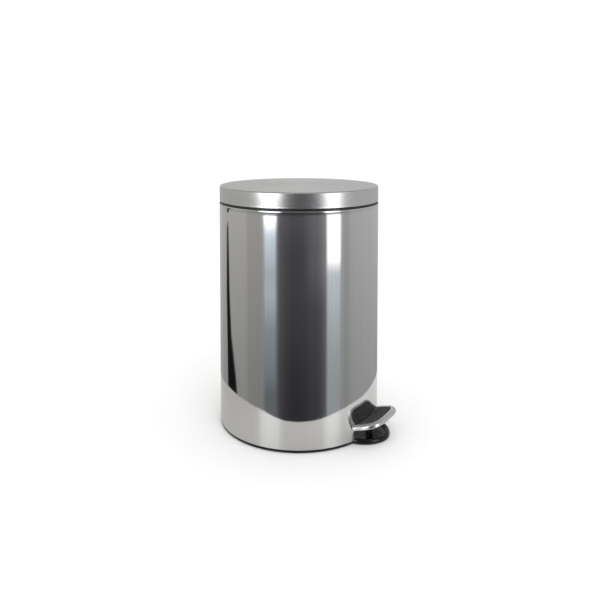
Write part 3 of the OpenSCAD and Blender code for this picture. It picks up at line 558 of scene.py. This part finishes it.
CAM_AZ = -58.5
def lerp(x, pts):
    if x <= pts[0][0]: return pts[0][1]
    for (a, u), (b, v) in zip(pts, pts[1:]):
        if x <= b: return u + (v - u) * (x - a) / (b - a)
    return pts[-1][1]
def soft(x, a, b, w):
    """1 between a and b, with edges w wide"""
    f = lambda t: max(0.0, min(1.0, t)); s = f((x - a) / w + 0.5) * f((b - x) / w + 0.5); return s * s * (3 - 2 * s)
def studio(al, el):
    """brightness of the studio seen in a polished surface: al degrees to the right of the camera, el above the horizon"""
    left = lerp(el, [(-30, 0.30), (-22, 0.35), (-8, 0.53), (10, 0.55), (40, 0.50)])
    right = lerp(el, [(-30, 0.34), (-22, 0.41), (-8, 0.56), (10, 0.58), (40, 0.52)])
    drape = lerp(el, [(-30, 0.036), (-23, 0.036), (-20, 0.046), (-15, 0.068), (-11, 0.074), (-8, 0.112), (-7, 0.05), (20, 0.05), (40, 0.15)])
    low = max(0.0, min(1.0, (-12.5 - el) / 3.0)); u = max(0.0, min(1.0, el + 7.5))
    w = lerp(al, [(-180, 0.0), (-60, 0.0), (-25, 0.88), (-18, 0.96), (-8, 1.0), (3, 0.99), (9, 0.95 + 0.03 * low), (16, 0.86 + 0.09 * low), (24, 0.82 + 0.12 * low), (30, 0.70 + 0.19 * low), (37, 0.48 + 0.25 * low), (62, 0.12), (100, 0.0), (180, 0.0)])
    side = left if al < 0 else right
    if abs(al) > 140: side = left * (1 - (al % 360 - 140) / 80) + right * ((al % 360 - 140) / 80) if al > 0 or al < -140 else side
    back = max(0.0, min(1.0, (abs(al) - 150) / 14)) * max(0.0, min(1.0, (el + 5) / 3)); side = side * (1 - back) + 0.66 * back
    v = side * (1 - w) + drape * w
    col = [v * 1.01, v * 0.995, v * 0.97] if al < 0 else [v * 0.99, v * 0.998, v * 0.998]
    if w > 0.5: col = [v * 1.0, v * 0.965, v * 1.06]
    # soft boxes
    s = soft(al, -48.5 - 7.0 * u, -31.0 + 5.0 * u, 6.5)
    if s > 0:
        b = lerp(el, [(-30, 0.22), (-22.5, 0.17), (-21.5, 0.25), (-19.5, 0.31), (-17.5, 0.36), (-15.8, 0.52), (-14.6, 0.62), (-13.3, 0.60), (-12.9, 0.54), (-12.4, 0.66), (-10.6, 0.84), (-9.4, 0.98), (-8.9, 1.7), (-8.0, 2.6), (-7.5, 2.6), (-6.6, 3.6), (20, 3.6), (40, 1.6)])
        tint = (0.90, 1.0, 1.10) if b < 1.2 else (1, 1, 1); col = [c * (1 - s) + b * t * s for c, t in zip(col, tint)]
    s = soft(al, 38.5 - 3.0 * u, 58.8 - 1.8 * u, 4.5 + 2.0 * u)
    if s > 0:
        b = lerp(el, [(-30, 0.36), (-21.5, 0.43), (-19.5, 0.48), (-17.5, 0.55), (-15.0, 0.68), (-13.0, 0.74), (-12.4, 1.0), (-11.8, 1.9), (-7.5, 2.0), (-6.6, 3.4), (20, 3.4), (40, 1.6)])
        tint = (0.94, 1.0, 1.06) if b < 1.2 else (1, 1, 1); col = [c * (1 - s) + b * t * s for c, t in zip(col, tint)]
    # faint stand beside the left box, and a dark panel edge far left
    s = 0.17 * soft(al, -77, -55, 6) + 0.13 * soft(al, 64, 74, 5); col = [c * (1 - s) for c in col]
    s = soft(al, lerp(el, [(-24, -120.0), (-21.5, -122.0), (-15, -124.5), (-9.4, -123.0)]), lerp(el, [(-24, -95.5), (-21.5, -100.5), (-18.3, -111.0), (-15, -115.0), (-9.4, -117.5)]), 2.2) * max(0.0, min(1.0, (-8.8 - el) / 0.5))
    d = lerp(el, [(-24, 0.010), (-15, 0.012), (-12, 0.03), (-9.0, 0.07)])
    col = [c * (1 - s) + d * s for c in col]
    return col

def room():
    rad = 3.0; zc = 0.25; step = 1.5; V = []; F = []; C = []
    els = [-40 + 0.8 * i for i in range(101)]
    na = int(360 / step)
    for el in els:
        for k in range(na):
            al = -180 + k * step; a = math.radians(CAM_AZ + al)
            V.append((rad * math.sin(a) * 1000, -rad * math.cos(a) * 1000, (zc + rad * math.tan(math.radians(el))) * 1000))
            tone = studio(al, -math.degrees(math.atan((0.1018 - math.tan(math.radians(el))) / 1.313)))
            f = max(0.0, min(1.0, (el - 22.0) / 12.0))             # an even, dimmer ceiling above the boxes
            C.append([t * (1 - f) + 0.42 * f for t in tone])
    for i in range(len(els) - 1):
        for k in range(na):
            l = (k + 1) % na; F.append([i * na + k, i * na + l, (i + 1) * na + l, (i + 1) * na + k])
    F.append([(len(els) - 1) * na + k for k in range(na)]); F.append([k for k in range(na)][::-1])
    me = bpy.data.meshes.new("studio_room"); me.from_pydata([tuple(c * MM for c in v) for v in V], [], F)
    at = me.color_attributes.new("tone", "FLOAT_COLOR", "POINT")
    for i, c in enumerate(C): at.data[i].color = (*c, 1)
    ob = bpy.data.objects.new("studio_room", me); scene.collection.objects.link(ob)
    me.materials.append(emission("studio_tone", attribute="tone")); glossy_only(ob)
room()

def disc(name, r, z, mat, n=128):
    rr = [r(math.degrees(2 * math.pi * i / n)) if callable(r) else r for i in range(n)]
    me = bpy.data.meshes.new(name); me.from_pydata([(rr[i] * math.cos(2 * math.pi * i / n), rr[i] * math.sin(2 * math.pi * i / n), z) for i in range(n)], [], [list(range(n))])
    ob = bpy.data.objects.new(name, me); scene.collection.objects.link(ob); me.materials.append(mat); return ob
fm = M("floor_pale", (0.94, 0.94, 0.935), 0.0, 0.8, 0.2)
fm.color(fm.noise(None, 3.0, 2.0, 0.5), [(0.3, (0.935, 0.935, 0.93)), (0.7, (0.95, 0.95, 0.945))])
floor = disc("floor", 14.0, -0.0002, fm.m); floor.visible_glossy = False
tm = M("table_top", (0.80, 0.795, 0.775), 0.0, 0.32, 0.5)
tx, ty, tz = tm.sep(tm.co)
# painted shade: the table's colour runs from dark at the camera's left to light at its right, a lighting gradient
# painted into a table that is seen only in reflections
across = tm.remap(tm.math("ADD", tm.math("ADD", tm.math("MULTIPLY", tx, 0.5225), tm.math("MULTIPLY", ty, -0.8526)), tm.math("MULTIPLY", tm.noise(None, 6.0, 2.0, 0.5), 0.02)), 0.0, 1.0, -0.27, 0.29)
tm.color(across, [(0.0, (0.56, 0.55, 0.53)), (0.25, (0.66, 0.65, 0.63)), (0.5, (0.70, 0.69, 0.67)), (0.8, (0.76, 0.75, 0.735)), (1.0, (0.82, 0.815, 0.80))])
def table_edge(deg):
    al = (deg + 90.0 - CAM_AZ + 180.0) % 360.0 - 180.0          # degrees to the right of the camera
    return R * MM * lerp(al, [(-180, 2.06), (-123, 2.05), (-95, 2.14), (-60, 2.09), (-38, 2.00), (-26, 1.90), (-14, 1.825), (0, 1.81), (14, 1.825), (26, 1.87), (44, 1.955), (60, 2.01), (90, 2.04), (111, 2.09), (180, 2.06)])
table = disc("table_top", table_edge, -0.0001, tm.m, 360); table.visible_camera = False; table.visible_shadow = False; table.visible_diffuse = False

world = bpy.data.worlds.new("world"); scene.world = world; world.use_nodes = True
bg = world.node_tree.nodes.get("Background") or world.node_tree.nodes.new("ShaderNodeBackground")
bg.inputs["Color"].default_value = (1.0, 1.0, 1.0, 1); bg.inputs["Strength"].default_value = 1.10

def area(name, loc, target, size, power):
    l = bpy.data.lights.new(name, "AREA"); l.shape = "SQUARE"; l.size = size; l.energy = power
    ob = bpy.data.objects.new(name, l); scene.collection.objects.link(ob); ob.location = loc
    ob.rotation_mode = "QUATERNION"; ob.rotation_quaternion = (Vector(target) - Vector(loc)).to_track_quat("-Z", "Y")
    ob.visible_glossy = False; ob.visible_camera = False
area("key", (-1.6, -1.9, 2.6), (0, 0, 0.2), 1.6, 18.0)

cam_d = bpy.data.cameras.new("camera"); cam = bpy.data.objects.new("camera", cam_d); scene.collection.objects.link(cam)
# 24 x 36 mm sensor held upright; the vertical shift keeps the body's sides parallel
cam_d.sensor_fit = "VERTICAL"; cam_d.sensor_width = 24.0; cam_d.sensor_height = 36.0
F_PX, CX, CY, PITCH, DIST, HIGH = 666.8, 298.96, 160.0, 0.0559, 8.4184, 3.7778
cam_d.lens = F_PX * 36.0 / 600.0
cam_d.shift_x = (300.0 - CX) / 600.0; cam_d.shift_y = (CY - 300.0) / 600.0
a = math.radians(CAM_AZ); rr = R * MM
cam.location = (DIST * rr * math.sin(a), -DIST * rr * math.cos(a), HIGH * rr)
look = Vector((-math.sin(a) * math.cos(PITCH), math.cos(a) * math.cos(PITCH), -math.sin(PITCH)))
cam.rotation_mode = "QUATERNION"; cam.rotation_quaternion = look.to_track_quat("-Z", "Y")
cam_d.clip_start = 0.01; cam_d.clip_end = 100.0
scene.camera = cam
scene.view_settings.view_transform = "Standard"
